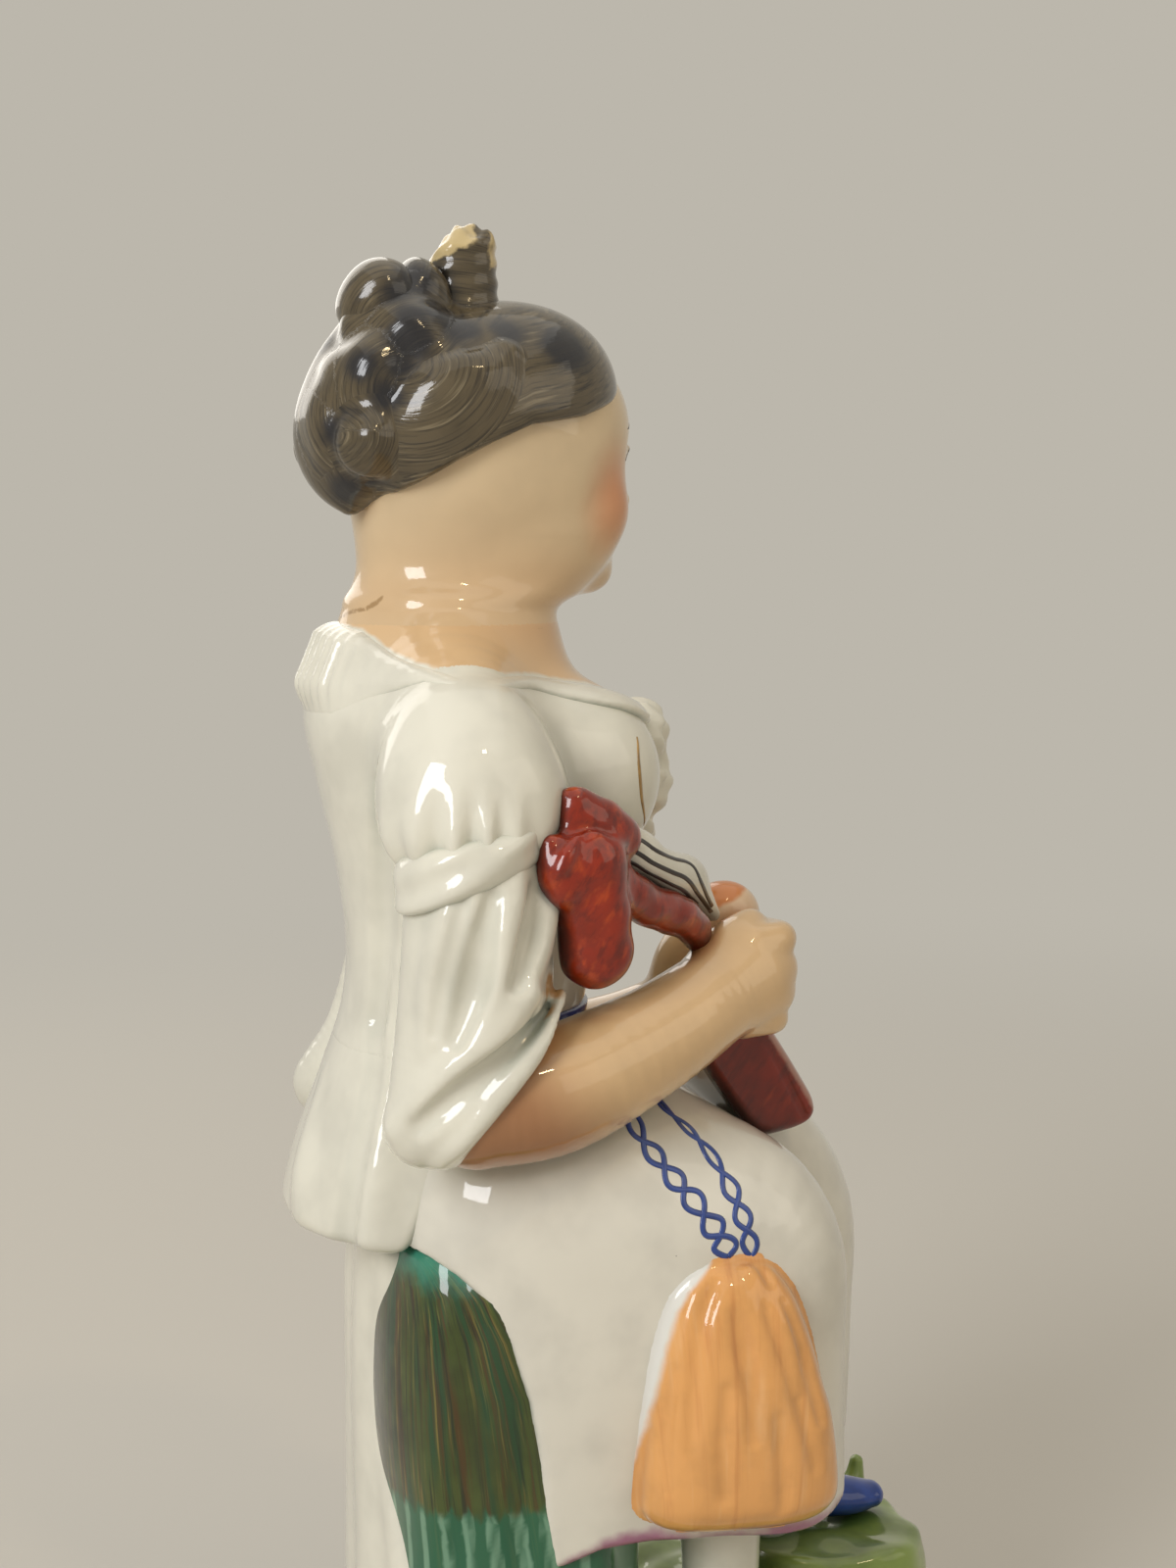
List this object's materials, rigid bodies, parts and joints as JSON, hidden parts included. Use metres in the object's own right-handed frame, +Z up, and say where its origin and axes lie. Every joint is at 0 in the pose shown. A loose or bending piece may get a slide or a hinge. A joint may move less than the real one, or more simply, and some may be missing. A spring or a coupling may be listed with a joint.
{
  "type": "staffordshire figure",
  "caption": "Glazed earthenware figure of a seated lady in a white jacket and skirt, holding a doll in a red gown, on a rocky seat and an oval base.",
  "frame": {"origin": "centre of the oval base's underside, on the surface that the figure stands on", "axes": "+Z up through the figure, -Y the way the figure faces, +X towards the figure's own left"},
  "size_m": [0.077, 0.093, 0.1993],
  "materials": {
    "white_glaze": "gloss",
    "flesh_glaze": "gloss",
    "hair_enamel": "gloss",
    "red_enamel": "gloss",
    "blue_enamel": "gloss",
    "orange_enamel": "gloss",
    "rock_glaze": "gloss",
    "grass_glaze": "gloss"
  },
  "bodies": {
    "root": {"base_plinth": "white_glaze", "base_turf": "grass_glaze", "seat_rock": "rock_glaze", "footrest_rock": "grass_glaze", "rock_foliage": "grass_glaze", "right_leg": "white_glaze", "right_shoe": "blue_enamel", "left_leg": "white_glaze", "left_shoe": "blue_enamel", "skirt": "white_glaze", "back_drape": "white_glaze", "torso": "white_glaze", "waist_belt": "blue_enamel", "jacket_tail": "white_glaze", "neckline_band": "white_glaze", "chemise_ruffle": "white_glaze", "head": "flesh_glaze", "hair_cap": "hair_enamel", "hair_roll_right": "hair_enamel", "hair_coil_right": "hair_enamel", "hair_roll_left": "hair_enamel", "hair_coil_left": "hair_enamel", "hair_bun": "hair_enamel", "hair_top_knot": "hair_enamel", "right_sleeve_puff": "white_glaze", "right_sleeve_band": "white_glaze", "right_lower_sleeve": "white_glaze", "right_forearm": "flesh_glaze", "left_sleeve_puff": "white_glaze", "left_sleeve_band": "white_glaze", "left_lower_sleeve": "white_glaze", "left_forearm": "flesh_glaze", "doll_head": "flesh_glaze", "doll_gown": "red_enamel", "red_shawl": "red_enamel", "striped_scarf": "white_glaze", "reticule": "orange_enamel"}
  },
  "joints": []
}
